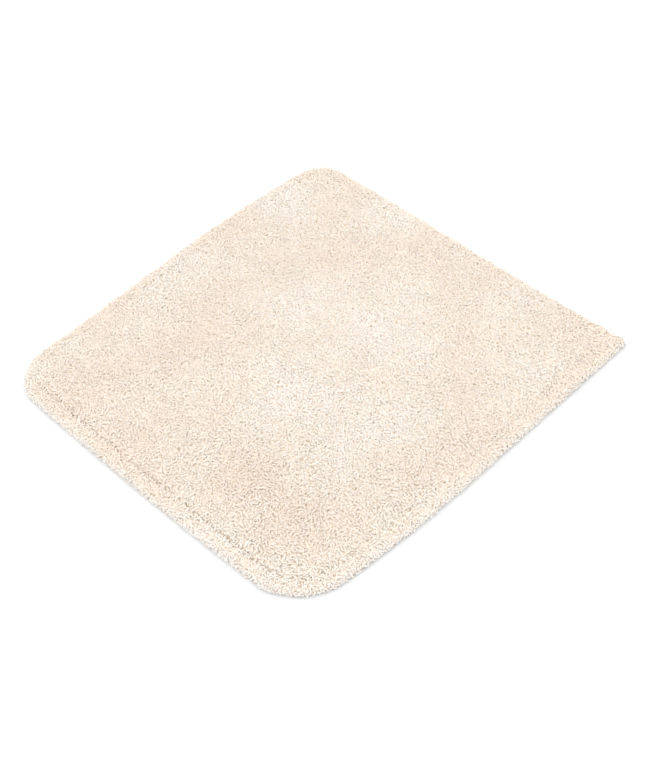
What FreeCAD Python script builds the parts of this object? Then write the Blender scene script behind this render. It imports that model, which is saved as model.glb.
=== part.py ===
import FreeCAD, Part
import math
import os

# A tufted bath mat that lies flat on the floor, +Z up. The origin is on the floor, under the middle
# of the mat's outline. The square corner points to +X +Y and the other three corners are rounded.
# All sizes are in millimetres.

Vector = FreeCAD.Vector

# ---- Outline ----
SIDE_X = 590.0              # between the two meeting points of the sides, along X
SIDE_Y = 590.0              # the same, along Y
BOW_RIGHT = 11.0            # how far the +X side swells out at its middle
BOW_BACK = 3.0
BOW_LEFT = 10.0
BOW_FRONT = 5.0
SQUARE_CORNER_RADIUS = 10.0
BACK_LEFT_RADIUS = 48.0
FRONT_LEFT_RADIUS = 64.0
FRONT_RIGHT_RADIUS = 75.0

# ---- Layers ----
CLOTH_THICKNESS = 1.0       # woven ground cloth
COAT_THICKNESS = 0.7        # latex coat on the cloth's back
PILE_HEIGHT = 11.5          # loops, above the cloth
BORDER_DROP = 1.0           # how much lower the pile lies between the seam and the edge
PILE_OVERHANG = 6.0         # pile outside the fold of the cloth
PILE_FLOOR_GAP = 1.0        # under the pile that hangs over the fold
EDGE_ROLL = 8.0             # radius of the pile's rounded outer edge
EDGE_TUCK = 2.5             # radius of its lower edge, beside the floor

# ---- Turned hem and its seam ----
HEM_WIDTH = 22.0            # from the fold to the raw edge of the return
SEAM_SETBACK = 17.0         # from the fold to the seam
SEAM_PARTING = 3.0          # width of the parting in the pile over the seam
PARTING_ROUND = 1.4         # rounding of the pile along the parting
THREAD_DIAMETER = 0.6
STITCH_PITCH = 6.0
STITCH_GAP = 1.2            # between two floats, where the thread goes through the cloth
THREAD_CHANNEL_SIDE = 0.3   # room each side of the thread in the return's channel

# ---- Mitre and tack at the square corner ----
MITRE_GAP = 0.6             # between the two cut ends of the return
TACK_COUNT = 4
TACK_SPACING = 2.0
TACK_LENGTH = 7.0
TACK_SETBACK = 8.0          # from the fold's corner to the first stitch, along each side
TACK_ROOM = 0.3             # between the thread and the sides of its pocket

# ---- Grip dots ----
DOT_BASE_RADIUS = 3.0
DOT_TIP_RADIUS = 2.4
DOT_PITCH = 24.0
DOT_FIELD_MARGIN = 34.0     # from the raw edge of the return to the centres of the outer dots

# ---- Care label ----
LABEL_WIDTH = 34.0
LABEL_FREE_LENGTH = 24.0    # beyond the raw edge of the return
LABEL_CAUGHT_LENGTH = 10.0  # inside the hem, past the seam
LABEL_CLEARANCE = 0.1       # round the caught end
LABEL_POSITION_Y = 90.0     # middle of the label, along the left side

# ---- Shares and tolerances ----
FOLD_ROUNDING = 0.45        # radius along a fold's edges, as a share of the fold's thickness
SAME_PLACE = 1e-3           # two points nearer than this are one
SAME_LEVEL = 1e-4

# ---- Levels and places that follow from the sizes ----
RETURN_TOP = CLOTH_THICKNESS
COAT_BOTTOM = RETURN_TOP + COAT_THICKNESS
CLOTH_BOTTOM = COAT_BOTTOM + COAT_THICKNESS
CLOTH_TOP = CLOTH_BOTTOM + CLOTH_THICKNESS
PILE_TOP = CLOTH_TOP + PILE_HEIGHT
RAW_EDGE_INSET = PILE_OVERHANG + HEM_WIDTH
SEAM_INSET = PILE_OVERHANG + SEAM_SETBACK
FOLD_RADIUS = FOLD_ROUNDING * CLOTH_TOP
CENTRE_X = (BOW_RIGHT - BOW_LEFT) / 2
CENTRE_Y = (BOW_BACK - BOW_FRONT) / 2

# Corners in order round the mat, each with its rounding, and the bow of the side that follows it.
CORNERS = (
    (1, 1, SQUARE_CORNER_RADIUS, BOW_BACK),
    (-1, 1, BACK_LEFT_RADIUS, BOW_LEFT),
    (-1, -1, FRONT_LEFT_RADIUS, BOW_FRONT),
    (1, -1, FRONT_RIGHT_RADIUS, BOW_RIGHT),
)


def corner_point(index):
    """Where the sides before and after a corner meet, before it is rounded."""
    sign_x, sign_y = CORNERS[index % 4][:2]
    return Vector(sign_x * SIDE_X / 2 - CENTRE_X, sign_y * SIDE_Y / 2 - CENTRE_Y, 0)


def side_circle(index):
    """The centre, radius and outward direction of the bowed side from one corner to the next."""
    start = corner_point(index)
    end = corner_point(index + 1)
    bow = CORNERS[index % 4][3]
    chord = end - start
    outward = Vector(chord.y, -chord.x, 0).normalize()
    radius = (chord.Length**2 / 4 + bow**2) / (2 * bow)
    return (start + end) / 2 + outward * (bow - radius), radius, outward


def drawn_in_corner(index, inset):
    """Where the two sides beside a corner meet once both are drawn in."""
    before, radius_before, _ = side_circle(index - 1)
    after, radius_after, _ = side_circle(index)
    radius_before -= inset
    radius_after -= inset
    between = after - before
    along = (radius_before**2 - radius_after**2 + between.Length**2) / (2 * between.Length)
    aside = math.sqrt(radius_before**2 - along**2)
    direction = (after - before).normalize()
    normal = Vector(-direction.y, direction.x, 0)
    meetings = [before + direction * along + normal * side for side in (aside, -aside)]
    return min(meetings, key=lambda point: point.distanceToPoint(corner_point(index)))


def side_arc(index, inset):
    """One bowed side, drawn in."""
    centre, radius, outward = side_circle(index)
    start = drawn_in_corner(index, inset)
    end = drawn_in_corner(index + 1, inset)
    return Part.Arc(start, centre + outward * (radius - inset), end).toShape()


def plan(inset):
    """The mat's outline drawn in by inset, as a flat face on the floor."""
    sides = Part.Wire([side_arc(index, inset) for index in range(4)])
    block = Part.Face(sides).extrude(Vector(0, 0, 1))
    for index, (_, _, radius, _) in enumerate(CORNERS):
        corner = drawn_in_corner(index, inset)
        upright = [
            edge
            for edge in block.Edges
            if all(math.hypot(v.X - corner.x, v.Y - corner.y) < SAME_PLACE for v in edge.Vertexes)
        ]
        if radius > inset:
            block = block.makeFillet(radius - inset, upright)
    return min(block.Faces, key=lambda face: face.CenterOfMass.z)


def slab(inset, low, high):
    """A flat plate of the outline drawn in by inset, from one level to another."""
    face = plan(inset)
    face.translate(Vector(0, 0, low))
    return face.extrude(Vector(0, 0, high - low)).Solids[0]


def rim_edges(solid, level):
    """The edges that lie at one level."""
    return [
        edge
        for edge in solid.Edges
        if max(abs(edge.BoundBox.ZMin - level), abs(edge.BoundBox.ZMax - level)) < SAME_LEVEL
    ]


def ring_cut(outer_inset, inner_inset, low, high):
    """A flat ring between two insets."""
    return slab(outer_inset, low, high).cut(slab(inner_inset, low - 1, high + 1))


def folded_block(top):
    """The space that the folded cloth takes up, with its rounded fold, up to a level."""
    block = slab(PILE_OVERHANG, 0, top)
    return block.makeFillet(FOLD_RADIUS, rim_edges(block, 0) + rim_edges(block, top))


def seam_edges():
    """The seam's line on the floor plane, edge by edge."""
    return plan(SEAM_INSET).OuterWire.OrderedEdges


def float_stitch(start, end, level):
    """One straight float of thread that lies on a level."""
    along = (end - start).normalize()
    foot = start + along * (STITCH_GAP / 2) + Vector(0, 0, level + THREAD_DIAMETER / 2)
    length = (end - start).Length - STITCH_GAP
    return Part.makeCylinder(THREAD_DIAMETER / 2, length, foot, along)


def seam_floats(level):
    """Floats end to end along the whole seam, with one at least on each stretch of it."""
    floats = []
    for edge in seam_edges():
        count = max(1, round(edge.Length / STITCH_PITCH))
        points = edge.discretize(Number=count + 1)
        floats += [float_stitch(a, b, level) for a, b in zip(points, points[1:])]
    return Part.makeCompound(floats)


def square_corner_of(inset):
    """The point of the outline, drawn in by inset, that is nearest the square corner."""
    corner = corner_point(0)
    return min((v.Point for v in plan(inset).Vertexes), key=lambda p: p.distanceToPoint(corner))


def mitre_frame():
    """The mitre's outer end, its direction into the mat, and the direction across it."""
    outer = square_corner_of(PILE_OVERHANG)
    inner = square_corner_of(RAW_EDGE_INSET)
    inward = (inner - outer).normalize()
    return outer, inward, Vector(-inward.y, inward.x, 0)


def mitre_box(start, end, half_width, low, high):
    """A box along the mitre, from one distance from its outer end to another."""
    outer, inward, across = mitre_frame()
    plan_points = ((start, -half_width), (end, -half_width), (end, half_width), (start, half_width))
    corners = [
        outer + inward * distance + across * side + Vector(0, 0, low) for distance, side in plan_points
    ]
    face = Part.Face(Part.makePolygon(corners + corners[:1]))
    return face.extrude(Vector(0, 0, high - low))


def tack_distances():
    """How far along the mitre each stitch of the tack lies."""
    first = TACK_SETBACK * math.sqrt(2)
    return [first + index * TACK_SPACING for index in range(TACK_COUNT)]


def corner_tack_thread():
    """Short stitches across the mitre that close the return at the square corner."""
    outer, inward, across = mitre_frame()
    stitches = []
    for distance in tack_distances():
        middle = outer + inward * distance
        foot = middle - across * (TACK_LENGTH / 2) + Vector(0, 0, THREAD_DIAMETER / 2)
        stitches.append(Part.makeCylinder(THREAD_DIAMETER / 2, TACK_LENGTH, foot, across))
    return Part.makeCompound(stitches)


def tack_pocket():
    """The hollow that the tack pulls into the return."""
    distances = tack_distances()
    reach = THREAD_DIAMETER / 2 + TACK_ROOM
    start = distances[0] - reach
    end = distances[-1] + reach
    return mitre_box(start, end, TACK_LENGTH / 2 + TACK_ROOM, -1, THREAD_DIAMETER)


def seam_channel():
    """The channel that the seam pulls into the underside of the return."""
    half = THREAD_DIAMETER / 2 + THREAD_CHANNEL_SIDE
    return ring_cut(SEAM_INSET - half, SEAM_INSET + half, -1, THREAD_DIAMETER)


def base_cloth():
    """The ground cloth: a sheet whose edge is turned under and comes back as a flat return."""
    cloth = folded_block(CLOTH_TOP)
    cloth = cloth.cut(slab(PILE_OVERHANG + CLOTH_THICKNESS, RETURN_TOP, CLOTH_BOTTOM))
    cloth = cloth.cut(slab(RAW_EDGE_INSET, -1, CLOTH_BOTTOM))
    mitre_length = HEM_WIDTH * math.sqrt(2)
    slit_start = CLOTH_THICKNESS * math.sqrt(2)
    cloth = cloth.cut(mitre_box(slit_start, mitre_length + 1, MITRE_GAP / 2, -1, RETURN_TOP))
    return cloth.cut(seam_channel()).cut(tack_pocket())


def label_box(clearance):
    """The care label, or with a clearance the pocket that its caught end lies in."""
    raw_edge_x = plan(RAW_EDGE_INSET).BoundBox.XMin
    width = LABEL_WIDTH + 2 * clearance
    length = LABEL_FREE_LENGTH + LABEL_CAUGHT_LENGTH + clearance
    corner = Vector(
        raw_edge_x - LABEL_CAUGHT_LENGTH - clearance,
        LABEL_POSITION_Y - CENTRE_Y - width / 2,
        RETURN_TOP,
    )
    return Part.makeBox(length, width, COAT_THICKNESS, corner)


def care_label():
    """A blank woven label, folded double, with its ends caught in the hem."""
    label = label_box(0)
    tip = label.BoundBox.XMax
    ends = [edge for edge in label.Edges if edge.BoundBox.XMin > tip - SAME_PLACE]
    fold = [edge for edge in ends if edge.BoundBox.YLength > SAME_PLACE]
    return label.makeFillet(FOLD_ROUNDING * COAT_THICKNESS, fold)


def latex_coat():
    """The coat that locks the loops: over the whole back, and doubled inside the hem."""
    field = slab(PILE_OVERHANG + CLOTH_THICKNESS, COAT_BOTTOM, CLOTH_BOTTOM)
    doubled = ring_cut(PILE_OVERHANG + CLOTH_THICKNESS, RAW_EDGE_INSET, RETURN_TOP, COAT_BOTTOM)
    return field.fuse(doubled.cut(label_box(LABEL_CLEARANCE))).removeSplitter().Solids[0]


def grip_dots():
    """Latex dots in rows under the coat, down to the floor."""
    field = plan(RAW_EDGE_INSET + DOT_FIELD_MARGIN)
    box = field.BoundBox
    columns = int(box.XLength // DOT_PITCH)
    rows = int(box.YLength // DOT_PITCH)
    first_x = box.Center.x - columns * DOT_PITCH / 2
    first_y = box.Center.y - rows * DOT_PITCH / 2
    dots = []
    for column in range(columns + 1):
        for row in range(rows + 1):
            foot = Vector(first_x + column * DOT_PITCH, first_y + row * DOT_PITCH, 0)
            if field.isInside(foot, SAME_PLACE, True):
                dots.append(Part.makeCone(DOT_TIP_RADIUS, DOT_BASE_RADIUS, COAT_BOTTOM, foot))
    return Part.makeCompound(dots)


def pile_field():
    """The loops inside the seam, as one plain body of their outer shape."""
    body = slab(SEAM_INSET + SEAM_PARTING / 2, CLOTH_TOP, PILE_TOP)
    return body.makeFillet(PARTING_ROUND, rim_edges(body, PILE_TOP))


def pile_border():
    """The loops between the seam and the edge, which roll over the fold of the cloth."""
    top = PILE_TOP - BORDER_DROP
    body = slab(0, PILE_FLOOR_GAP, top)
    body = body.makeFillet(EDGE_ROLL, rim_edges(body, top))
    body = body.makeFillet(EDGE_TUCK, rim_edges(body, PILE_FLOOR_GAP))
    body = body.cut(slab(SEAM_INSET - SEAM_PARTING / 2, 0, top + 1))
    return body.cut(folded_block(CLOTH_TOP))


PIECES = {
    "base_cloth": base_cloth,
    "latex_coat": latex_coat,
    "grip_dots": grip_dots,
    "pile_field": pile_field,
    "pile_border": pile_border,
    "hem_needle_thread": lambda: seam_floats(CLOTH_TOP),
    "hem_bobbin_thread": lambda: seam_floats(0),
    "corner_tack_thread": corner_tack_thread,
    "care_label": care_label,
}


def main():
    os.makedirs("parts", exist_ok=True)
    for name, make in PIECES.items():
        shape = make()
        shape.exportStep(f"parts/{name}.step")
        box = shape.BoundBox
        size = f"{box.XLength:.1f} x {box.YLength:.1f} x {box.ZLength:.2f}"
        print(name, "solids", len(shape.Solids), "valid", shape.isValid(), "size", size)


main()
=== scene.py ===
import math
import bmesh
import bpy
import numpy as np
from mathutils import Matrix, Vector, noise


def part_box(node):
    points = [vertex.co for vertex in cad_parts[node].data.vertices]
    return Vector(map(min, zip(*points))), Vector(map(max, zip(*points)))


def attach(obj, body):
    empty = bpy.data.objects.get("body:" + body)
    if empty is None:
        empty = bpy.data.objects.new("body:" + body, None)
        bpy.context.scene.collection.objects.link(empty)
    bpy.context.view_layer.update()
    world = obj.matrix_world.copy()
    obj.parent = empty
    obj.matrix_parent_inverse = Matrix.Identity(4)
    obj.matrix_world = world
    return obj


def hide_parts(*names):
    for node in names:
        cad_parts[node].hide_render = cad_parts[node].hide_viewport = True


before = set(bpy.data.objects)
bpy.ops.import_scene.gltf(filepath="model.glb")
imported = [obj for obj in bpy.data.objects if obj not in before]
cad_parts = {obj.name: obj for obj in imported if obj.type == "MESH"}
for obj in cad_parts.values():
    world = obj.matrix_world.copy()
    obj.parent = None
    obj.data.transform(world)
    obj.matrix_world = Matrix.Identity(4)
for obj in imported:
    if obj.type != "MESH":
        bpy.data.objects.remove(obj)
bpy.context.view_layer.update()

MM = 0.001

# A tufted cotton bath mat that lies on the floor. Lengths are in millimetres until mesh_object()
# turns them into metres.

# ---- Outline: four bowed sides, three rounded corners and a square one towards +X +Y ----
LOW, HIGH = (np.array(corner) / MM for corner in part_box("pile_border"))
CENTRE = (LOW + HIGH)[:2] / 2
SIDE = 590.0                      # between the meeting points of the sides
MIDDLE = CENTRE + (-0.5, 1.0)     # of the straight-sided square before its sides bow
# Counter-clockwise from the square corner: the corner's signs and radius, and the side that
# follows: how far it bows out at its middle, how far its two halves swing apart, and how hard
# the seam pulls the pile down along it.
OUTLINE = (
    ((1, 1), 7.0, -0.5, 1.6, 0.3),
    ((-1, 1), 47.0, 10.3, -4.4, 0.6),
    ((-1, -1), 63.0, 4.9, -0.3, 0.95),
    ((1, -1), 74.0, 12.0, 3.0, 0.45),
)
SIDES = ((1, 1), (0, -1), (1, -1), (0, 1))    # the axis and sign that each side faces
BOW_STARTS = 0.3                  # share of the half side at which a bow begins to act
EAR = np.array((-1.5, 2.8))       # how far the tip of the square corner stands out
EAR_SIZE = 10.0
CORNER_STEPS = 14
SIDE_STEPS = 44
LEAST_RADIUS = 0.6                # of a corner that is drawn in past its own radius
RING_STEP = 13.0                  # between the rings of the flat inner part

# ---- Levels ----
FLOOR_CLOTH_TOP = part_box("base_cloth")[1].z / MM
COAT_LOW, COAT_HIGH = (corner.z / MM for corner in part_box("latex_coat"))
LABEL_LOW, LABEL_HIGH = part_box("care_label")
CLOTH = 1.0                       # thickness of the ground cloth
WEAVE_PITCH = 1.6                 # between every second yarn of its weave
FOLD_INSET = 6.0                  # from the outline to the fold of the hem
HEM_WIDTH = 22.0
SEAM_INSET = 23.0
GROOVE_HALF = 0.6                 # of the channel for the bobbin thread
GROOVE_DEPTH = 0.65
MITRE_GAP = 0.6
DOT_RADIUS = 3.0
DOT_SINK = 0.05                   # how far a dot reaches into the coat
THREAD = 0.6
THREAD_TURNS = 2.0                # of its twist over one float
LABEL_CLOTH = 0.28                # thickness of the label's tape
SATIN_RIB = 0.35                  # between its ribs

# ---- Pile ----
ROOT_TOP = 11.8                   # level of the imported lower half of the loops
ROOT_GAP = 0.15                   # between that half and the cloth
SEAM_DIP = 2.6                    # how far the seam pulls it down
SEAM_SPREAD = 3.8                 # half width of that dip
SEAM_TURN = 12                    # how sharply the pull changes from side to side at a corner
SEAM_NOISE, SEAM_NOISE_SIZE = 0.8, 16.0    # how unevenly it pulls, in lumps of this size
SEAM_GROWTH = 0.8                 # share of the loops that stand on the seam itself
SEAM_HALF = 2.0                   # half width of that strip
SWELL, SWELL_SIZE = 0.5, 95.0     # gentle unevenness of the whole mat
BAND_BLEND = 7.0                  # width of the step from the seam to the roll's top
RIM_INSET, RIM_BLEND = 9.5, 4.0   # where the roll's side begins, and the width of that step
OPENING = 0.25                    # how much deeper the gaps go where the pile stands open
OPEN_PAINTED_SHADE = -0.3                  # and how much painted shade darkens its yarn there, as a share of its shades; where the pile is brushed close it is painted lighter
BAND_OPENNESS = -0.6              # of the roll outside the seam
BAND_PAINTED_SHADE = -0.16                 # painted shade on the roll's top, which the light reaches more
RIM_PAINTED_LIGHT = 0.62                   # how much painted light brightens the roll's side
OPEN_NOISE = ((0.35, 38.0, 8.1), (0.2, 15.0, 5.3))    # amounts, sizes and seeds
# Where the pile has been brushed close (below zero) or open: the place from the mat's middle,
# the size of the patch and its openness.
PATCHES = (
    (25, 50, 125, -1.0),
    (35, -105, 60, -0.5),
    (-60, -180, 45, -0.6),
    (150, 185, 50, -0.4),
    (125, -200, 80, 0.75),
    (230, -190, 60, 0.6),
    (40, -250, 80, 0.4),
    (-185, -220, 60, 0.7),
    (-165, -110, 60, 0.3),
    (-170, 90, 65, 0.7),
    (255, -60, 32, 0.4),
)
# How much painted shadow shows in the roots' pits: everywhere, more where the pile stands open,
# and more along the seam.
ROOT_PIT_SHADOW, ROOT_PIT_SHADOW_BY_PATCH, ROOT_PIT_SHADOW_BY_SEAM = 0.5, 0.15, 0.25
LOOP_SPACING = 2.35
LOOP_WIDTH = 2.7
LOOP_HEIGHT = 2.4
YARN = 1.2                        # radius of the yarn
YARN_FLATNESS = 0.8
YARN_RIBS = 7                     # turns of its plies over one loop
YARN_TURNS = 0.25                 # twist of the flattened yarn over one loop
LOOP_CURL = 1.2                   # how far the yarn strays from a plain arch
CURL_SIZE = 4.5
LOOP_LEAN = 1.4                   # how far a loop's top leans, each its own way
LOOP_COMB = 1.3                   # how far all the tops of one patch lean together
COMB_SIZE = 55.0
DRIFT_SIZE = 40.0                 # of the patches where the loops run much the same way
DRIFT_TURNS = 2.5                 # of the loops, from one extreme of that to the other
LOOP_TURN = 0.9                   # how far a loop turns from its neighbours, in radians
LOOP_WIDTHS = (0.75, 1.25)        # its own share of the width
LOOP_HEIGHTS = (0.8, 1.15)
LOOP_SHADES = 0.18                # how far a loop's own shade strays, up or down
CLOUDS = 2.0                      # how far the shade strays from patch to patch
CLOUD_SIZE = 110.0
PANELS = (3, 4)                   # the pile is cut into this many pieces each way
MOST_LOOPS = 260000               # in a square metre, before they are kept apart
MOST_FIBRES = 200000
FIBRES = {"Spacing": 2.05, "Length": 6.6, "Thickness": 0.18}    # loose ones round the edge
FIBRE_LEAN = 0.6                  # radians, either way
FIBRE_SIZES = (0.75, 1.2)

PILE_SIZES = {
    "Spacing": LOOP_SPACING, "Width": LOOP_WIDTH, "Height": LOOP_HEIGHT, "Yarn": YARN,
    "Lean": LOOP_LEAN, "Comb": LOOP_COMB, "Curl": LOOP_CURL,
}

# ---- Camera ----
CAMERA_AZIMUTH = 53.9
CAMERA_ELEVATION = 45.68
CAMERA_ROLL = -9.55
CAMERA_DISTANCE = 2299.0
CAMERA_ASIDE = 14.8               # how far right of the mat's middle it aims
CAMERA_RAISED = -31.4             # and how far above it
LENS = 80.75

# ---- Studio ----
FLOOR_HALF = 6000.0
FLOOR_LEVEL = -0.25
WORLD_STRENGTH = 1.45
LAMP_WATTS = 3.5
LAMP_SIZE = 1.6                   # metres
LAMP_PLACE = (-1.05, 1.05, 1.9)   # metres

# ---- Colours, mostly a darker and a lighter one ----
YARN_SHADED_DEEP = (0.872, 0.761, 0.633), (0.922, 0.863, 0.792)     # painted shade where a loop comes out of the pile
YARN_LIT_CREST = (0.893, 0.789, 0.687), (0.934, 0.881, 0.827)    # painted highlight where it turns over
# the roots: painted shade at the darker end, where their lumps dip
PACKED_YARN_SHADED_TO_LIT = (0.76, 0.64, 0.53), (0.95, 0.86, 0.77)
# painted shadow in the deepest gaps between the loops
PIT_SHADOW_COLOUR = (0.53, 0.43, 0.32)
FIBRE = (0.93, 0.88, 0.82), (0.97, 0.94, 0.90)
WEAVE = (0.48, 0.41, 0.31), (0.76, 0.69, 0.59)
LATEX = (0.47, 0.41, 0.32), (0.63, 0.57, 0.47)
SEWING_THREAD = (0.72, 0.64, 0.52), (0.85, 0.79, 0.70)
SATIN = (0.62, 0.62, 0.60), (0.76, 0.76, 0.75)
FLOOR = (0.80, 0.815, 0.83)

TURN = 2 * math.pi
SHARP = math.radians(50)          # edges that turn more than this stay sharp


def make_camera():
    """A camera above the mat's right front corner, a little rolled."""
    data = bpy.data.cameras.new("camera")
    data.lens = LENS
    data.sensor_width = 36
    data.clip_end = 50
    camera = bpy.data.objects.new("camera", data)
    bpy.context.scene.collection.objects.link(camera)
    azimuth = math.radians(CAMERA_AZIMUTH)
    elevation = math.radians(CAMERA_ELEVATION)
    roll = math.radians(CAMERA_ROLL)
    flat = math.cos(elevation)
    back = Vector((math.sin(azimuth) * flat, -math.cos(azimuth) * flat, math.sin(elevation)))
    level = Vector((math.cos(azimuth), math.sin(azimuth), 0))
    steep = back.cross(level)
    right = level * math.cos(roll) + steep * math.sin(roll)
    up = steep * math.cos(roll) - level * math.sin(roll)
    centre = Vector((MIDDLE[0], MIDDLE[1], 0))
    place = centre + back * CAMERA_DISTANCE + right * CAMERA_ASIDE + up * CAMERA_RAISED
    turn = Matrix((right, up, back)).transposed()
    camera.matrix_world = Matrix.Translation(place * MM) @ turn.to_4x4()
    bpy.context.scene.camera = camera


make_camera()


# ---- Graphs: one way to write shader and geometry node trees ----
class Signal:
    """What a socket carries, with Python's own arithmetic where it is a number."""

    def __init__(self, graph, socket):
        self.graph = graph
        self.socket = socket

    def __add__(self, other):
        return self.graph.math("ADD", self, other)

    def __sub__(self, other):
        return self.graph.math("SUBTRACT", self, other)

    def __rsub__(self, other):
        return self.graph.math("SUBTRACT", other, self)

    def __mul__(self, other):
        return self.graph.math("MULTIPLY", self, other)

    def __truediv__(self, other):
        return self.graph.math("DIVIDE", self, other)

    __radd__ = __add__
    __rmul__ = __mul__


class Graph:
    """A node tree, with one method that adds any node."""

    def __init__(self, tree):
        self.tree = tree

    def add(self, kind, settings=None, sockets=None, output=0):
        """Add a node: its settings first, then the values or links of its sockets."""
        node = self.tree.nodes.new(kind)
        for name, value in (settings or {}).items():
            setattr(node, name, value)
        for key, value in (sockets or {}).items():
            self.feed(self.find(node.inputs, key), value)
        return Signal(self, self.find(node.outputs, output)) if node.outputs else node

    def find(self, sockets, key):
        """The socket in use that has a name, or the one at a place."""
        if isinstance(key, int):
            return sockets[key]
        return next(socket for socket in sockets if socket.name == key and socket.enabled)

    def other(self, signal, key):
        """Another output of the node that a signal comes from."""
        return Signal(self, self.find(signal.socket.node.outputs, key))

    def feed(self, socket, value):
        if isinstance(value, Signal):
            self.tree.links.new(value.socket, socket)
        else:
            socket.default_value = value

    def math(self, operation, *values):
        return self.add("ShaderNodeMath", {"operation": operation}, dict(enumerate(values)))

    def clamp(self, value):
        return self.add("ShaderNodeClamp", None, {"Value": value})

    def smooth(self, value, low, high):
        """0 below low, 1 above high, and a soft step between."""
        return self.add(
            "ShaderNodeMapRange",
            {"interpolation_type": "SMOOTHSTEP"},
            {"Value": value, "From Min": low, "From Max": high},
        )

    def vector(self, operation, *values):
        return self.add("ShaderNodeVectorMath", {"operation": operation}, dict(enumerate(values)))

    def scaled(self, vector, factor):
        sockets = {0: vector, "Scale": factor}
        return self.add("ShaderNodeVectorMath", {"operation": "SCALE"}, sockets)

    def measured(self, operation, *vectors):
        """A number that comes from vectors, such as a length."""
        settings = {"operation": operation}
        return self.add("ShaderNodeVectorMath", settings, dict(enumerate(vectors)), "Value")

    def join(self, x, y, z):
        return self.add("ShaderNodeCombineXYZ", None, {"X": x, "Y": y, "Z": z})

    def split(self, vector):
        x = self.add("ShaderNodeSeparateXYZ", None, {0: vector})
        return x, self.other(x, "Y"), self.other(x, "Z")


class Paint(Graph):
    """A procedural material on Blender's Principled shader."""

    def __init__(self, name, roughness, **fixed):
        self.material = bpy.data.materials.new(name)
        self.material.use_nodes = True
        super().__init__(self.material.node_tree)
        self.shader = next(n for n in self.tree.nodes if n.type == "BSDF_PRINCIPLED")
        self.shader.inputs["Roughness"].default_value = roughness
        for name, value in fixed.items():
            self.shader.inputs[name.replace("_", " ").title()].default_value = value

    def set(self, socket, value):
        self.feed(self.shader.inputs[socket], value)

    def place(self):
        """Object coordinates, in metres."""
        return self.add("ShaderNodeTexCoord", output="Object")

    def noise(self, scale, detail=2.0):
        """Noise from 0 to 1, with this many lumps in a metre."""
        sockets = {"Vector": self.place(), "Scale": scale, "Detail": detail, "Roughness": 0.5}
        return self.add("ShaderNodeTexNoise", None, sockets)

    def mix(self, factor, low, high):
        """One colour to another as the factor goes from 0 to 1."""
        low, high = (end if isinstance(end, Signal) else (*end, 1) for end in (low, high))
        sockets = {0: factor, 6: low, 7: high}
        return self.add("ShaderNodeMix", {"data_type": "RGBA"}, sockets, output=2)

    def attribute(self, name):
        """A number stored on the piece's mesh."""
        return self.add("ShaderNodeAttribute", {"attribute_name": name}, output="Fac")

    def bump(self, height, distance):
        """Fine relief, this many millimetres deep."""
        sockets = {"Height": height, "Distance": distance * MM, "Strength": 1.0}
        self.set("Normal", self.add("ShaderNodeBump", None, sockets))


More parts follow.
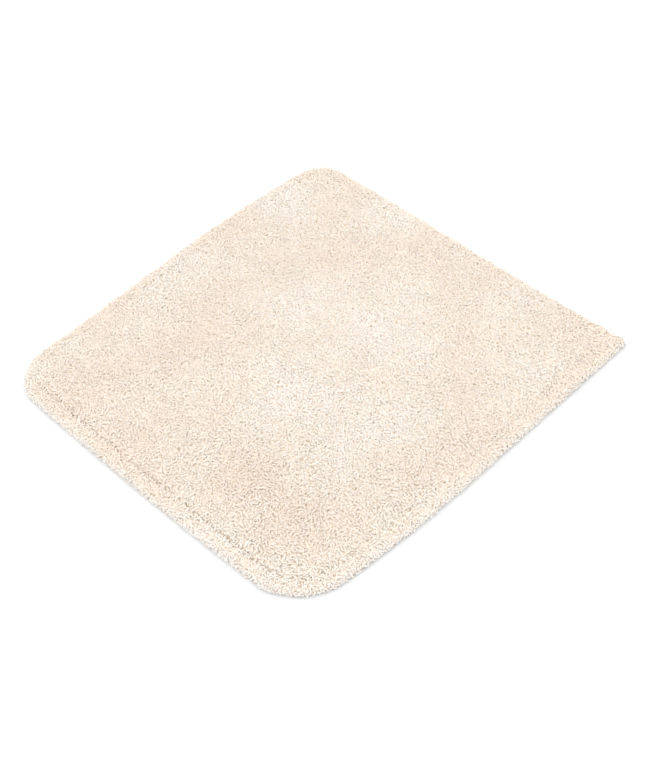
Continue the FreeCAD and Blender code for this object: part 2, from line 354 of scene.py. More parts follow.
class Growth(Graph):
    """A Geometry Nodes tree that makes a piece out of a source object's mesh."""

    def __init__(self, name, inputs):
        """Inputs are the kinds of its sockets by name. The material comes after them."""
        super().__init__(bpy.data.node_groups.new(name, "GeometryNodeTree"))
        face = self.tree.interface
        for socket, kind in {"Geometry": "Geometry", **inputs, "Material": "Material"}.items():
            face.new_socket(socket, in_out="INPUT", socket_type="NodeSocket" + kind)
        face.new_socket("Geometry", in_out="OUTPUT", socket_type="NodeSocketGeometry")
        self.source = self.add("NodeGroupInput", output="Geometry")
        self.position = self.node("InputPosition")
        self.along = self.node("SplineParameter", output="Factor")

    def given(self, name):
        return self.other(self.source, name)

    def node(self, kind, settings=None, output=0, **sockets):
        """Add a geometry node. Underscores stand for the spaces in the names of its sockets."""
        sockets = {name.replace("_", " "): value for name, value in sockets.items()}
        return self.add("GeometryNode" + kind, settings, sockets, output)

    def named(self, name, kind="FLOAT"):
        """A value that is stored on the geometry."""
        return self.node("InputNamedAttribute", {"data_type": kind}, "Attribute", Name=name)

    def store(self, geometry, name, value, kind="FLOAT", domain="POINT"):
        settings = {"data_type": kind, "domain": domain}
        sockets = {"Geometry": geometry, "Name": name, "Value": value}
        return self.node("StoreNamedAttribute", settings, **sockets)

    def random(self, low, high, seed):
        """A number from low to high for each point."""
        sockets = {"Min": low, "Max": high, "Seed": seed}
        return self.add("FunctionNodeRandomValue", {"data_type": "FLOAT"}, sockets, "Value")

    def noise(self, place, size, detail, output=0):
        """Noise whose lumps have a size in metres. Its "Color" is a vector from 0 to 1."""
        sockets = {"Vector": place, "Scale": 1 / size, "Detail": detail}
        return self.add("ShaderNodeTexNoise", None, sockets, output)

    def centred(self, colour, factor):
        """A noise colour as a vector on both sides of nothing, made longer by a factor."""
        return self.scaled(self.vector("SUBTRACT", colour, (0.5, 0.5, 0.5)), factor)

    def turned(self, rotation, further):
        """A rotation, and then a further one about its own axes."""
        further = self.add("FunctionNodeEulerToRotation", None, {"Euler": further})
        sockets = {"Rotation": rotation, "Rotate By": further}
        return self.add("FunctionNodeRotateRotation", {"rotation_space": "LOCAL"}, sockets)

    def arch(self, count, *points):
        """An open curve from its start, its two handles and its end."""
        names = ("Start", "Start Handle", "End Handle", "End")
        kind = "CurvePrimitiveBezierSegment"
        curve = self.node(kind, {"mode": "POSITION"}, **dict(zip(names, points)))
        return self.node("ResampleCurve", Curve=curve, Count=count)

    def scatter(self, spacing, most, share, seed):
        """Points on the source's faces, kept a spacing apart and thinned out to a share."""
        settings = {"distribute_method": "POISSON"}
        sockets = {"Mesh": self.source, "Distance Min": spacing, "Density Max": most}
        sockets |= {"Density Factor": share, "Seed": seed}
        return self.node("DistributePointsOnFaces", settings, **sockets)

    def copies(self, points, piece, **placing):
        """A real copy of a piece at each point."""
        copies = self.node("InstanceOnPoints", Points=points, Instance=piece, **placing)
        return self.node("RealizeInstances", Geometry=copies)

    def above(self, geometry, lowest):
        """Lift the points of a geometry that are below a level."""
        x, y, z = self.split(self.position)
        place = self.join(x, y, self.math("MAXIMUM", z, lowest))
        return self.node("SetPosition", Geometry=geometry, Position=place)

    def ring(self, sides, radius):
        kind = "CurvePrimitiveCircle"
        return self.node(kind, {"mode": "RADIUS"}, Resolution=sides, Radius=radius)

    def skin(self, curve, ring, flatness=1):
        """The closed skin of a yarn along a curve, its section a flattened ring."""
        ring = self.node("Transform", Geometry=ring, Scale=(1, flatness, 1))
        return self.node("CurveToMesh", Curve=curve, Profile_Curve=ring, Fill_Caps=True)

    def finished(self, geometry):
        """Smooth the geometry, give it its material and pass it on. Returns the tree."""
        geometry = self.node("SetShadeSmooth", Geometry=geometry)
        geometry = self.node("RealizeInstances", Geometry=geometry)
        geometry = self.node("SetMaterial", Geometry=geometry, Material=self.given("Material"))
        self.add("NodeGroupOutput", None, {0: geometry})
        return self.tree


# ---- The mat's outline and its even cross section ----
def bowed(points):
    """Points of the straight-sided square, moved out as its sides bow."""
    moved = points.copy()
    for (axis, sign), (_, _, bow, swing, _) in zip(SIDES, OUTLINE):
        along = math.pi * (points[:, 1 - axis] / SIDE + 0.5)
        near = (sign * points[:, axis] / (SIDE / 2) - BOW_STARTS) / (1 - BOW_STARTS)
        out = bow * np.sin(along) + swing * np.sin(2 * along)
        moved[:, axis] += sign * out * np.clip(near, 0, 1)
    tip = points - SIDE / 2
    near_tip = np.exp(-((np.linalg.norm(tip, axis=1) / EAR_SIZE) ** 2))
    return moved + near_tip[:, None] * EAR + MIDDLE


def outline(inset):
    """Points round the outline drawn in by inset, counter-clockwise and always as many."""
    half = SIDE / 2 - inset
    corners = []
    for index, ((sign_x, sign_y), radius, *_) in enumerate(OUTLINE):
        radius = max(radius - inset, LEAST_RADIUS)
        turns = np.radians(90 * index + np.linspace(0, 90, CORNER_STEPS + 1))
        centre = np.array((sign_x, sign_y)) * (half - radius)
        corners.append(centre + radius * np.stack((np.cos(turns), np.sin(turns)), 1))
    points = []
    for arc, following in zip(corners, corners[1:] + corners[:1]):
        shares = np.linspace(0, 1, SIDE_STEPS + 1)[1:-1, None]
        points += [arc, arc[-1] + (following[0] - arc[-1]) * shares]
    return bowed(np.concatenate(points))


def patchy(x, y, size, seed):
    """Soft noise over the mat, about -1 to 1, with lumps of a size."""
    return noise.noise((x / size, y / size, seed))


def corner_point(inset):
    """The middle of the square corner's arc."""
    return outline(inset)[CORNER_STEPS // 2]


def swell(x, y):
    """The gentle unevenness of the mat at a place."""
    return SWELL * patchy(x, y, SWELL_SIZE, 3.7)


def band_share(inset):
    """0 inside the seam, and 1 on the roll outside it."""
    return min(max((SEAM_INSET - inset) / BAND_BLEND, 0), 1)


def rim_share(inset):
    """0 on the mat's top, and 1 down the side of the roll."""
    return min(max((RIM_INSET - inset) / RIM_BLEND, 0), 1)


def openness(inset, x, y):
    """How open the pile stands at a place, about -1 to 1."""
    total = sum(amount * patchy(x, y, size, seed) for amount, size, seed in OPEN_NOISE)
    for patch_x, patch_y, size, amount in PATCHES:
        away = math.hypot(x - patch_x, y - patch_y) / size
        total += amount * math.exp(-away * away)
    return total + (BAND_OPENNESS - total) * band_share(inset)


def seam_dip(inset, x, y):
    """How far the seam pulls the pile down at a place, a little more here than there."""
    reaches = [sign * (x, y)[axis] / (SIDE / 2) for axis, sign in SIDES]
    shares = np.exp(SEAM_TURN * np.array(reaches))
    pull = float(shares @ [side[-1] for side in OUTLINE] / shares.sum())
    pull *= 1 + SEAM_NOISE * patchy(x, y, SEAM_NOISE_SIZE, 2.2)
    return SEAM_DIP * pull * math.exp(-(((inset - SEAM_INSET) / SEAM_SPREAD) ** 2))


# Numbers stored on the pile's surface. Each is worked out from a vertex's inset, how far it
# follows the mat's unevenness, and its place.
def yarn_painted_light(inset, uneven, x, y):
    """Painted light and shade on the yarn, as a share of its shades: shade on the roll's top and
    in open patches, light down the roll's side and where the pile is brushed close.
    """
    band = band_share(inset)
    roll = BAND_PAINTED_SHADE * band + RIM_PAINTED_LIGHT * rim_share(inset)
    return roll + OPEN_PAINTED_SHADE * (1 - band) * openness(inset, x, y)


def loop_growth(inset, uneven, x, y):
    """The share of the loops that stand here."""
    return SEAM_GROWTH if abs(inset - SEAM_INSET) < SEAM_HALF else 1.0


def gap_depth(inset, uneven, x, y):
    """How much deeper the gaps are, and how much taller the loops."""
    return OPENING * uneven * openness(inset, x, y)


def fibre_growth(inset, uneven, x, y):
    """The share of the loose fibres that grow here."""
    return rim_share(inset)


def pit_shadow_share(inset, uneven, x, y):
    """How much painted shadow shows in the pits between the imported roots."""
    by_patch = ROOT_PIT_SHADOW_BY_PATCH * uneven * openness(inset, x, y)
    return ROOT_PIT_SHADOW + by_patch + ROOT_PIT_SHADOW_BY_SEAM * seam_dip(inset, x, y)


def inner_rings(first, level, uneven=0.0):
    """Rings that lead from an inset to near the mat's middle, all at one level."""
    return [(inset, level, uneven) for inset in np.arange(first, SIDE / 2 - 3, RING_STEP)]


def ring_points(inset, level, uneven):
    """One ring of places round the mat, at a level and following its unevenness."""
    flat = outline(inset)
    rise = [
        uneven * (swell(x, y) - gap_depth(inset, 1, x, y) - seam_dip(inset, x, y))
        for x, y in flat
    ]
    return np.column_stack((flat, level + np.array(rise)))


def placed(name, data):
    """A new object in the scene."""
    piece = bpy.data.objects.new(name, data)
    bpy.context.scene.collection.objects.link(piece)
    return piece


def mesh_object(name, vertices, faces, material, smooth=True):
    """A piece whose vertices are given in millimetres."""
    mesh = bpy.data.meshes.new(name)
    mesh.from_pydata([tuple(v * MM) for v in vertices], [], faces)
    mesh.polygons.foreach_set("use_smooth", [smooth] * len(mesh.polygons))
    mesh.materials.append(material)
    mesh.update()
    return placed(name, mesh)


def ring_shell(name, profile, material, closed=True):
    """A skin over rings from the mat's middle outwards, given as (inset, level, unevenness).
    Where it is closed, the last ring is near the middle too."""
    rings = [ring_points(*ring) for ring in profile]
    count = len(rings[0])
    vertices = list(np.concatenate(rings))
    faces = []
    for ring in range(len(rings) - 1):
        for i in range(count):
            j = (i + 1) % count
            inner, outer = ring * count, (ring + 1) * count
            faces.append((inner + i, outer + i, outer + j, inner + j))
    middles = [(0, rings[0], False)]
    if closed:
        middles.append(((len(rings) - 1) * count, rings[-1], True))
    for first, ring, turned in middles:
        vertices.append(ring.mean(0))
        for i in range(count):
            face = (len(vertices) - 1, first + i, first + (i + 1) % count)
            faces.append(face[::-1] if turned else face)
    return mesh_object(name, vertices, faces, material)


# ---- Materials ----
def cotton_loops():
    """Looped yarn: painted shade, warm, in its depth and a painted highlight, near white, where
    it turns over, with a shade for each loop. Its map holds the shade across and the place along
    the yarn upwards."""
    paint = Paint("cotton_loops", roughness=0.95, sheen_weight=0.25, sheen_roughness=0.5)
    shade, along, _ = paint.split(paint.add("ShaderNodeUVMap", {"uv_map": "OFBake"}))
    # Painted shade low in each loop and a painted highlight at its top.
    top = paint.smooth(4 * along * (1 - along), 0.05, 0.8)
    deep = paint.mix(shade, *YARN_SHADED_DEEP)
    crest = paint.mix(shade, *YARN_LIT_CREST)
    ply = along * YARN_RIBS + paint.math("ABSOLUTE", paint.attribute("round") - 3 / 8) * 1.6
    ridge = paint.math("SINE", ply * TURN) * 0.5 + 0.5
    colour = paint.mix(top, deep, crest)
    # Painted shade, 3% darker, in the grooves between the plies.
    paint.set("Base Color", paint.mix(ridge, paint.scaled(colour, 0.97), colour))
    fibres = paint.noise(1300, detail=2)
    paint.bump(ridge + fibres * 0.2, 0.025)
    return paint.material


def cotton_roots():
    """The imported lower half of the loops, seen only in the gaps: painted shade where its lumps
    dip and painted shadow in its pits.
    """
    paint = Paint("cotton_roots", roughness=1.0)
    sockets = {"Vector": paint.place(), "Scale": 420}
    lumps = paint.add("ShaderNodeTexVoronoi", {"feature": "F1"}, sockets, "Distance")
    height = paint.clamp(1 - lumps * 1.1 + (paint.noise(900, detail=2) - 0.5) * 0.4)
    # Painted shade: darker where the lumps dip.
    packed = paint.mix(height, *PACKED_YARN_SHADED_TO_LIT)
    # Painted shadow: dark pits, more where the pile stands open and along the seam.
    packed_close = paint.noise(260, detail=1) - paint.attribute("open") * 0.13
    pit_shadow = paint.smooth(packed_close, 0.28, 0.42)
    paint.set("Base Color", paint.mix(pit_shadow, PIT_SHADOW_COLOUR, packed))
    paint.bump(height, 0.8)
    return paint.material


def cotton_fibres():
    """Single fibres, paler than the yarn that they come out of."""
    paint = Paint("cotton_fibres", roughness=1.0)
    paint.set("Base Color", paint.mix(paint.noise(300), *FIBRE))
    return paint.material


def woven_cotton():
    """Plain weave, its warp and weft passing over and under each other."""
    paint = Paint("woven_cotton", roughness=0.9)
    x, y, _ = paint.split(paint.place())
    warp = paint.math("SINE", x * (TURN / (WEAVE_PITCH * MM)))
    weft = paint.math("SINE", y * (TURN / (WEAVE_PITCH * MM)))
    height = warp * weft * 0.5 + 0.5
    slub = paint.noise(160, detail=3)
    # Painted shade where the weave dips; the slubs are the yarn's own uneven colour.
    light = paint.clamp(height * 0.6 + slub * 0.5)
    paint.set("Base Color", paint.mix(light, *WEAVE))
    paint.bump(height, 0.2)
    return paint.material


def latex(name, roughness):
    """Off-white latex with a pebbled skin."""
    paint = Paint(name, roughness=roughness)
    pebbles = paint.smooth(paint.noise(420, detail=2), 0.35, 0.65)
    stain = paint.noise(14, detail=2)
    # Painted shade between the pebbles; the stains are the coat's own uneven colour.
    shade = pebbles * 0.35 + stain * 0.65
    paint.set("Base Color", paint.mix(shade, *LATEX))
    paint.bump(pebbles, 0.3)
    return paint.material


def sewing_thread():
    """Cream thread with a slight sheen."""
    paint = Paint("sewing_thread", roughness=0.65, sheen_weight=0.2)
    paint.set("Base Color", paint.mix(paint.noise(700), *SEWING_THREAD))
    return paint.material


def satin():
    """Blank white satin tape with fine ribs across it."""
    paint = Paint("satin_tape", roughness=0.42, sheen_weight=0.3)
    _, y, _ = paint.split(paint.place())
    ribs = paint.math("SINE", y * (TURN / (SATIN_RIB * MM))) * 0.5 + 0.5
    # Painted shade in the grooves between the ribs.
    paint.set("Base Color", paint.mix(ribs, *SATIN))
    paint.bump(ribs, 0.04)
    return paint.material


# ---- Looped pile ----
def pile_tree():
    """Loops of yarn that stand on a surface, with their tops leaning and combed."""
    inputs = {name: "Float" for name in PILE_SIZES}
    inputs |= {"Panel low": "Vector", "Panel high": "Vector", "Seed": "Int"}
    g = Growth("looped_pile", inputs)
    spacing, width, height, yarn, lean, comb, curl = (g.given(name) for name in PILE_SIZES)

    def random(low, high, salt):
        return g.random(low, high, g.math("ADD", g.given("Seed"), salt))

    # One loop, as an open curve that rises, turns over and comes down.
    foot, shoulder = width * 0.5, width * 0.62
    hidden, crown = height * -0.35, height * 1.3
    loop = g.arch(
        7,
        g.join(foot * -1, 0, hidden),
        g.join(shoulder * -1, 0, crown),
        g.join(shoulder, 0, crown),
        g.join(foot, 0, hidden),
    )
    loop = g.store(loop, "along", g.along)
    loop = g.store(loop, "rise", g.math("SINE", g.along * math.pi))

    # Where the loops stand.
    spots = g.scatter(spacing, MOST_LOOPS, g.named("growth"), g.given("Seed"))
    normal, rotation = g.other(spots, "Normal"), g.other(spots, "Rotation")
    spots = g.store(spots, "normal", normal, "FLOAT_VECTOR")
    spots = g.store(spots, "turn", rotation, "QUATERNION")
    after = g.vector("SUBTRACT", g.position, g.given("Panel low"))
    before = g.vector("SUBTRACT", g.given("Panel high"), g.position)
    x, y, _ = g.split(g.vector("MINIMUM", after, before))
    outside = g.math("LESS_THAN", g.math("MINIMUM", x, y), 0.0)
    spots = g.node("DeleteGeometry", {"domain": "POINT"}, Geometry=spots, Selection=outside)

    # How each loop turns, leans and is shaded.
    drift = g.noise(g.position, DRIFT_SIZE * MM, 1.0)
    spin = g.join(0, 0, drift * (DRIFT_TURNS * TURN) + random(-LOOP_TURN, LOOP_TURN, 1))
    turned = g.turned(g.named("turn", "QUATERNION"), spin)
    own = g.join(random(-1, 1, 2), random(-1, 1, 3), random(-0.4, 0.4, 4))
    spots = g.store(spots, "own", own, "FLOAT_VECTOR")
    patch = g.noise(g.position, COMB_SIZE * MM, 1.5, "Color")
    push = g.vector("ADD", g.scaled(own, lean), g.centred(patch, comb * 4))
    normal = g.named("normal", "FLOAT_VECTOR")
    upright = g.scaled(normal, g.measured("DOT_PRODUCT", push, normal))
    spots = g.store(spots, "push", g.vector("SUBTRACT", push, upright), "FLOAT_VECTOR")
    # Each loop's shade: its own and patchy tone, and the painted light and shade stored on the
    # surface.
    cloud = g.noise(g.position, CLOUD_SIZE * MM, 2.0)
    shade = 0.5 + (cloud - 0.5) * CLOUDS + g.named("tone")
    shade = g.clamp(shade + random(-LOOP_SHADES, LOOP_SHADES, 5))
    spots = g.store(spots, "shade", shade)
    spots = g.store(spots, "phase", random(-0.5, 0.5, 6))
    stretch = random(*LOOP_HEIGHTS, 8) + g.named("depth") * (MM / 0.9) / height
    scale = g.join(random(*LOOP_WIDTHS, 7), 1, stretch)
    loops = g.copies(spots, loop, Rotation=turned, Scale=scale)

    # The tops lean and wander, and nothing goes under the floor.
    rise = g.named("rise")
    apart = g.scaled(g.named("own", "FLOAT_VECTOR"), 50)
    apart = g.vector("ADD", g.scaled(g.position, 1 / (CURL_SIZE * MM)), apart)
    wander = g.centred(g.noise(apart, 1.0, 0.0, "Color"), curl * rise * 4)
    offset = g.vector("ADD", g.scaled(g.named("push", "FLOAT_VECTOR"), rise), wander)
    loops = g.node("SetPosition", Geometry=loops, Offset=offset)
    loops = g.above(loops, yarn * 1.05)

    # The yarn: a flattened section that turns as it goes. Its map leaves a margin all round.
    twist = (g.along - 0.5) * (YARN_TURNS * TURN) + g.named("phase")
    loops = g.node("SetCurveTilt", Curve=loops, Tilt=twist)
    loops = g.node("SetCurveRadius", Curve=loops, Radius=0.75 + rise * 0.25)
    ring = g.store(g.ring(4, yarn), "round", g.along)
    skin = g.skin(loops, ring, YARN_FLATNESS)
    across = g.named("shade") * 0.94 + 0.02 + g.named("round") * 0.02
    place = g.join(across, g.named("along") * 0.96 + 0.02, 0)
    skin = g.store(skin, "OFBake", place, "FLOAT2", "CORNER")
    spent = "normal turn push own growth depth tone rim phase rise along shade"
    for name in spent.split():
        skin = g.node("RemoveAttribute", Geometry=skin, Name=name)
    return g.finished(skin)


def fibre_tree():
    """Fine bent fibres that stand out of the roll round the mat's edge."""
    g = Growth("loose_fibres", {name: "Float" for name in FIBRES})
    spacing, length, thickness = (g.given(name) for name in FIBRES)
    fibre = g.arch(
        4,
        (0, 0, 0),
        g.join(0, 0, length * 0.5),
        g.join(length * 0.1, 0, length * 0.85),
        g.join(length * 0.35, 0, length),
    )
    spots = g.scatter(spacing, MOST_FIBRES, g.named("rim"), 5)
    leans = [g.random(-FIBRE_LEAN, FIBRE_LEAN, seed) for seed in (1, 2)]
    tilt = g.join(*leans, g.random(-math.pi, math.pi, 3))
    turned = g.turned(g.other(spots, "Rotation"), tilt)
    size = g.random(*FIBRE_SIZES, 4)
    fibres = g.copies(spots, fibre, Rotation=turned, Scale=g.join(size, size, size))
    fibres = g.above(fibres, thickness)
    return g.finished(g.skin(fibres, g.ring(3, thickness / 2)))


def set_inputs(modifier, values):
    """Set a Geometry Nodes modifier's inputs, found by name and set by identifier."""
    for item in modifier.node_group.interface.items_tree:
        if item.item_type == "SOCKET" and item.in_out == "INPUT" and item.name in values:
            modifier[item.identifier] = values[item.name]


def grown(name, source, tree, values):
    """The plain mesh that a Geometry Nodes tree makes on a source object, as a new piece."""
    modifier = source.modifiers.new(name, "NODES")
    modifier.node_group = tree
    set_inputs(modifier, values)
    depsgraph = bpy.context.evaluated_depsgraph_get()
    mesh = bpy.data.meshes.new_from_object(source.evaluated_get(depsgraph))
    source.modifiers.remove(modifier)
    mesh.name = name
    return placed(name, mesh)


def rim_profile():
    """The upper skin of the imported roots, from beside the seam over the edge and down."""
    flat = [(inset, ROOT_TOP, 1.0) for inset in np.arange(40.0, 12.0, -1.6)]
    side = ((9.5, 0.5, 1.0), (7.6, 1.5, 0.7), (6.2, 3.0, 0.4), (5.5, 4.8, 0.2))
    side = [(inset, ROOT_TOP - drop, uneven) for inset, drop, uneven in side]
    return flat + side + [(5.2, 3.2, 0.0), (5.2, 2.2, 0.0)]


def store_number(piece, profile, name, rule):
    """Store a number on each vertex of a ring shell, from its inset, unevenness and place."""
    rings = np.repeat(profile, len(outline(0)), axis=0)
    values = []
    for index, vertex in enumerate(piece.data.vertices):
        inset, _, uneven = rings[index] if index < len(rings) else (SIDE / 2, 0, 1.0)
        values.append(rule(inset, uneven, vertex.co.x / MM, vertex.co.y / MM))
    attribute = piece.data.attributes.new(name, "FLOAT", "POINT")
    attribute.data.foreach_set("value", values)


def make_pile():
    """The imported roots, and the loops that stand on them."""
    upper = inner_rings(53.0, ROOT_TOP, 1.0)[::-1] + rim_profile()
    lowest = FLOOR_CLOTH_TOP + ROOT_GAP
    under = [(5.6, 1.6, 0.0), (5.8, lowest, 0.0), (9.0, lowest, 0.0)] + inner_rings(22.0, lowest)
    material = cotton_roots()
    roots = ring_shell("pile_roots", upper + under, material)
    store_number(roots, upper + under, "open", pit_shadow_share)
    surface = ring_shell("pile_surface", upper, material, closed=False)
    numbers = {
        "growth": loop_growth,
        "depth": gap_depth,
        "tone": yarn_painted_light,
        "rim": fibre_growth,
    }
    for name, rule in numbers.items():
        store_number(surface, upper, name, rule)
    tree = pile_tree()
    values = {name: size * MM for name, size in PILE_SIZES.items()}
    values |= {"Seed": 11, "Material": cotton_loops()}
    cuts = []
    for low, high, count in zip(LOW, HIGH, PANELS):
        inner = [(low + (high - low) * k / count) * MM for k in range(1, count)]
        cuts.append([-1.0, *inner, 1.0])
    loops = []
    for column in range(PANELS[0]):
        for row in range(PANELS[1]):
            values["Panel low"] = (cuts[0][column], cuts[1][row], -1.0)
            values["Panel high"] = (cuts[0][column + 1], cuts[1][row + 1], 1.0)
            loops.append(grown(f"pile_loops_{column + 1}{row + 1}", surface, tree, values))
    values = {name: size * MM for name, size in FIBRES.items()} | {"Material": cotton_fibres()}
    fibres = grown("loose_fibres", surface, fibre_tree(), values)
    bpy.data.objects.remove(surface)
    return roots, loops, fibres


# ---- Ground cloth, coat and dots ----
def make_ground_cloth():
    """The cloth that the loops are tufted into, its edge turned under, and its mitre."""
    bend_level = FLOOR_CLOTH_TOP / 2
    bend_inset = FOLD_INSET + bend_level
    turns = np.radians(np.linspace(0, 180, 9))

    def bend(radius, angles):
        """The fold, from the upper cloth to the return under it."""
        return [
            (bend_inset - radius * math.sin(a), bend_level + radius * math.cos(a), 0)
            for a in angles
        ]

    raw_edge = FOLD_INSET + HEM_WIDTH
    near, far = SEAM_INSET - GROOVE_HALF, SEAM_INSET + GROOVE_HALF
    groove = [(near, 0, 0), (near, GROOVE_DEPTH, 0), (far, GROOVE_DEPTH, 0), (far, 0, 0)]
    outside = inner_rings(15.0, FLOOR_CLOTH_TOP)[::-1] + bend(bend_level, turns) + groove
    outside += [(raw_edge - 0.2, 0, 0), (raw_edge, 0.2, 0)]
    inside = [(raw_edge, CLOTH, 0)] + bend(bend_level - CLOTH, turns[::-1])
    inside += inner_rings(15.0, FLOOR_CLOTH_TOP - CLOTH)
    cloth = ring_shell("ground_cloth", outside + inside, woven_cotton())
    cut_mitre(cloth, corner_point(bend_inset + 0.5), corner_point(raw_edge + 1))
    return cloth


def cut_mitre(cloth, start, end):
    """Slit the return along the square corner's diagonal."""
    along = (end - start) / np.linalg.norm(end - start)
    across = np.array((-along[1], along[0])) * MITRE_GAP / 2
    plan = (start - across, end - across, end + across, start + across)
    vertices = [np.array((*spot, level)) for level in (-1.0, CLOTH + 0.1) for spot in plan]
    faces = [(3, 2, 1, 0), (4, 5, 6, 7), (0, 1, 5, 4), (1, 2, 6, 5), (2, 3, 7, 6), (3, 0, 4, 7)]
    knife = mesh_object("mitre_knife", vertices, faces, cloth.data.materials[0], smooth=False)
    modifier = cloth.modifiers.new("mitre", "BOOLEAN")
    modifier.operation = "DIFFERENCE"
    modifier.object = knife
    depsgraph = bpy.context.evaluated_depsgraph_get()
    mesh = bpy.data.meshes.new_from_object(cloth.evaluated_get(depsgraph))
    cloth.modifiers.remove(modifier)
    cloth.data = mesh
    mesh.set_sharp_from_angle(angle=SHARP)
    bpy.data.objects.remove(knife)


def make_latex_coat():
    """The coat over the whole back, twice as thick inside the hem."""
    middle, radius = (COAT_LOW + COAT_HIGH) / 2, (COAT_HIGH - COAT_LOW) / 2
    edge = FOLD_INSET + CLOTH + radius
    turns = np.radians(np.linspace(0, 180, 7))
    rim = [(edge - radius * math.sin(a) + 0.05, middle + radius * math.cos(a), 0) for a in turns]
    raw_edge = FOLD_INSET + HEM_WIDTH
    step = [(raw_edge - 0.3, COAT_LOW, 0), (raw_edge, COAT_LOW + 0.2, 0)]
    step.append((raw_edge + 0.1, middle, 0))
    profile = inner_rings(15.0, COAT_HIGH)[::-1] + rim + step + inner_rings(raw_edge + 6, middle)
    coat = ring_shell("latex_coat_skin", profile, latex("latex_coat", 0.62))
    coat.data.set_sharp_from_angle(angle=SHARP)
    return coat


def loose_parts(node):
    """The vertices of each loose part of a CAD node, in millimetres."""
    mesh = bmesh.new()
    mesh.from_mesh(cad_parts[node].data)
    bmesh.ops.remove_doubles(mesh, verts=mesh.verts, dist=1e-6)
    found, parts = set(), []
    for first in mesh.verts:
        if first.index in found:
            continue
        found.add(first.index)
        waiting, part = [first], []
        while waiting:
            vertex = waiting.pop()
            part.append(vertex.co / MM)
            for edge in vertex.link_edges:
                other = edge.other_vert(vertex)
                if other.index not in found:
                    found.add(other.index)
                    waiting.append(other)
        parts.append(np.array(part))
    mesh.free()
    return parts


def spot_object(name, spots):
    """A source object that is only points."""
    mesh = bpy.data.meshes.new(name)
    mesh.from_pydata([tuple(spot * MM) for spot in spots], [], [])
    return placed(name, mesh)


def make_dots():
    """Domed latex dots where the design has them."""
    spots = [(part.min(0) + part.max(0)) / 2 * (1, 1, 0) for part in loose_parts("grip_dots")]
    g = Growth("grip_dots", {"Radius": "Float", "Depth": "Float"})
    radius, depth = g.given("Radius"), g.given("Depth")
    ball = g.node("MeshUVSphere", Segments=10, Rings=6, Radius=1.0)
    x, y, z = g.split(g.position)
    under = g.math("MINIMUM", z, 0.0) * depth
    over = g.math("MAXIMUM", z, 0.0) * depth * 0.15
    shape = g.join(x * radius, y * radius, under + over + depth)
    ball = g.node("SetPosition", Geometry=ball, Position=shape)
    tree = g.finished(g.copies(g.source, ball))
    source = spot_object("grip_dot_spots", spots)
    reach = (COAT_LOW + COAT_HIGH) / 2 + DOT_SINK
    values = {"Radius": DOT_RADIUS * MM, "Depth": reach * MM}
    dots = grown("grip_dot_domes", source, tree, values | {"Material": latex("latex_dots", 0.45)})
    bpy.data.objects.remove(source)
    return dots


# ---- Sewing ----
def stitch_tree():
    """Short lengths of flattened, twisted thread, one at each point along its direction."""
    g = Growth("stitches", {"Thickness": "Float", "Turns": "Float"})
    line = g.node("CurvePrimitiveLine", Start=(-0.5, 0, 0), End=(0.5, 0, 0))
    line = g.node("ResampleCurve", Curve=line, Count=8)
    line = g.node("SetCurveTilt", Curve=line, Tilt=g.along * g.given("Turns") * TURN)
    thread = g.skin(line, g.ring(5, g.given("Thickness") / 2), 0.62)
    direction = g.named("direction", "FLOAT_VECTOR")
    turned = g.add("FunctionNodeAlignRotationToVector", {"axis": "X"}, {"Vector": direction})
    scale = g.join(g.measured("LENGTH", direction), 1, 1)
    return g.finished(g.copies(g.source, thread, Rotation=turned, Scale=scale))


def nearest(path, spot):
    """The point nearest to a spot on a path of straight lines."""
    start, line = path[:-1], path[1:] - path[:-1]
    share = np.clip(((spot - start) * line).sum(1) / (line * line).sum(1), 0, 1)
    reached = start + line * share[:, None]
    return reached[np.linalg.norm(reached - spot, axis=1).argmin()]


def make_stitches(name, node, tree, material, path):
    """A thread's floats, where the design has them, moved sideways onto a path."""
    middles, directions = [], []
    for part in loose_parts(node):
        middle = (part.min(0) + part.max(0)) / 2
        middle[:2] = nearest(path, middle[:2])
        flat = (part - part.mean(0))[:, :2]
        along = np.linalg.svd(flat, full_matrices=False)[2][0]
        reach = flat @ along
        middles.append(middle)
        directions.append((*(along * (reach.max() - reach.min()) * MM), 0))
    source = spot_object(name + "_spots", middles)
    attribute = source.data.attributes.new("direction", "FLOAT_VECTOR", "POINT")
    attribute.data.foreach_set("vector", np.array(directions).ravel())
    values = {"Thickness": THREAD * MM, "Turns": THREAD_TURNS, "Material": material}
    stitches = grown(name, source, tree, values)
    if "direction" in stitches.data.attributes:
        stitches.data.attributes.remove(stitches.data.attributes["direction"])
    bpy.data.objects.remove(source)
    return stitches


# ---- Care label ----
def make_label():
    """A blank satin label, folded at its free end, with its cut ends caught in the hem."""
    low, high = LABEL_LOW / MM, LABEL_HIGH / MM
    middle, radius = (low.z + high.z) / 2, (high.z - low.z) / 2
    bend = np.radians(np.linspace(90, -90, 9))

    def path(r):
        """Along the upper leaf, round the fold and back along the lower leaf."""
        leaf = np.linspace(low.x, high.x - radius, 12)
        upper = [(x, middle + r) for x in leaf]
        turn = [(high.x - radius + r * math.cos(a), middle + r * math.sin(a)) for a in bend[1:-1]]
        return upper + turn + [(x, middle - r) for x in leaf[::-1]]

    section = path(radius) + path(radius - LABEL_CLOTH)[::-1]
    rows = np.linspace(low.y, high.y, 13)
    vertices = [np.array((x, y, z)) for y in rows for x, z in section]
    count = len(section)
    faces = []
    for row in range(len(rows) - 1):
        for i in range(count):
            j = (i + 1) % count
            first, second = row * count, (row + 1) * count
            faces.append((first + i, first + j, second + j, second + i))
    half = count // 2
    for first, flipped in ((0, False), ((len(rows) - 1) * count, True)):
        for i in range(half - 1):
            face = (first + i, first + count - 1 - i, first + count - 2 - i, first + i + 1)
            faces.append(face[::-1] if flipped else face)
    label = mesh_object("care_label_satin", vertices, faces, satin())
    label.data.set_sharp_from_angle(angle=SHARP)
    return label


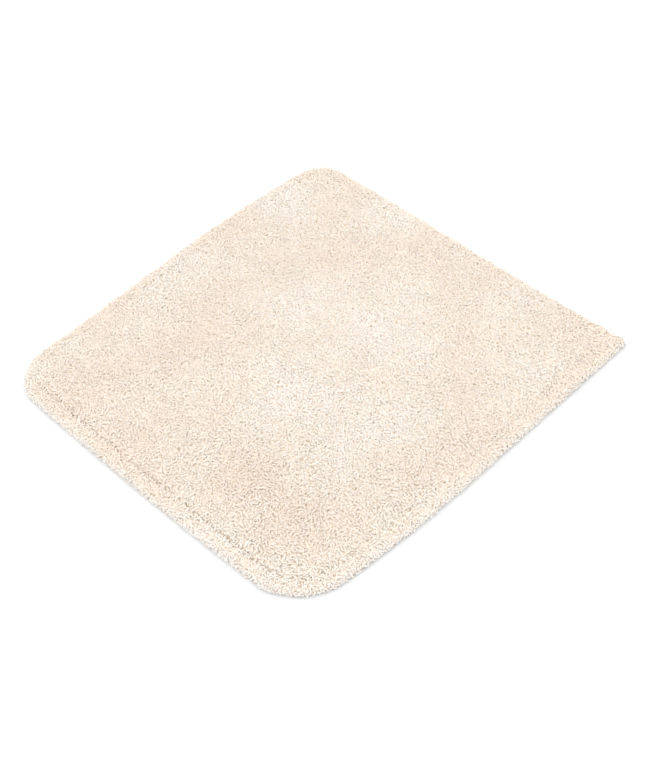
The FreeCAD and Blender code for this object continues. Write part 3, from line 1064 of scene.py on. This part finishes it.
def outward(piece):
    """Turn a closed piece's faces to point out of it."""
    mesh = bmesh.new()
    mesh.from_mesh(piece.data)
    bmesh.ops.recalc_face_normals(mesh, faces=mesh.faces)
    mesh.to_mesh(piece.data)
    mesh.free()


# ---- The mat ----
roots, loops, fibres = make_pile()
cloth = make_ground_cloth()
coat = make_latex_coat()
dots = make_dots()
stitches = stitch_tree()
thread = sewing_thread()
seam = outline(SEAM_INSET)
seam = np.concatenate((seam, seam[:1]))
mitre = np.array([corner_point(inset) for inset in (FOLD_INSET, FOLD_INSET + HEM_WIDTH)])
needle = make_stitches("needle_floats", "hem_needle_thread", stitches, thread, seam)
bobbin = make_stitches("bobbin_floats", "hem_bobbin_thread", stitches, thread, seam)
tacks = make_stitches("corner_tacks", "corner_tack_thread", stitches, thread, mitre)
label = make_label()

FINISH = (
    ([roots, *loops], "cotton_pile", ("pile_field", "pile_border")),
    ([fibres], "cotton_pile", ("pile_border",)),
    ([cloth], "ground_cloth", ("base_cloth",)),
    ([coat], "latex", ("latex_coat",)),
    ([dots], "latex", ("grip_dots",)),
    ([needle], "sewing_thread", ("hem_needle_thread",)),
    ([bobbin], "sewing_thread", ("hem_bobbin_thread",)),
    ([tacks], "sewing_thread", ("corner_tack_thread",)),
    ([label], "label_tape", ("care_label",)),
)
for pieces, slot, nodes in FINISH:
    for piece in pieces:
        outward(piece)
        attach(piece, "root")
        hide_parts(*nodes)


# ---- Studio ----
def make_studio():
    """A pale floor, even white light all round and a large soft light from behind the mat."""
    paint = Paint("studio_floor", roughness=1.0)
    paint.set("Base Color", (*FLOOR, 1))
    corners = [np.array((x, y, 0)) for x, y in ((-1, -1), (1, -1), (1, 1), (-1, 1))]
    corners = [corner * FLOOR_HALF + (0, 0, FLOOR_LEVEL) for corner in corners]
    mesh_object("studio_floor", corners, [(0, 1, 2, 3)], paint.material)
    world = bpy.data.worlds.new("studio")
    world.use_nodes = True
    background = world.node_tree.nodes["Background"]
    background.inputs["Color"].default_value = (1, 1, 1, 1)
    background.inputs["Strength"].default_value = WORLD_STRENGTH
    bpy.context.scene.world = world
    light = bpy.data.lights.new("window", "AREA")
    light.energy = LAMP_WATTS
    light.size = LAMP_SIZE
    lamp = placed("window", light)
    lamp.location = LAMP_PLACE
    lamp.rotation_euler = (-lamp.location).to_track_quat("-Z", "Y").to_euler()
    bpy.context.scene.view_settings.view_transform = "Standard"


make_studio()
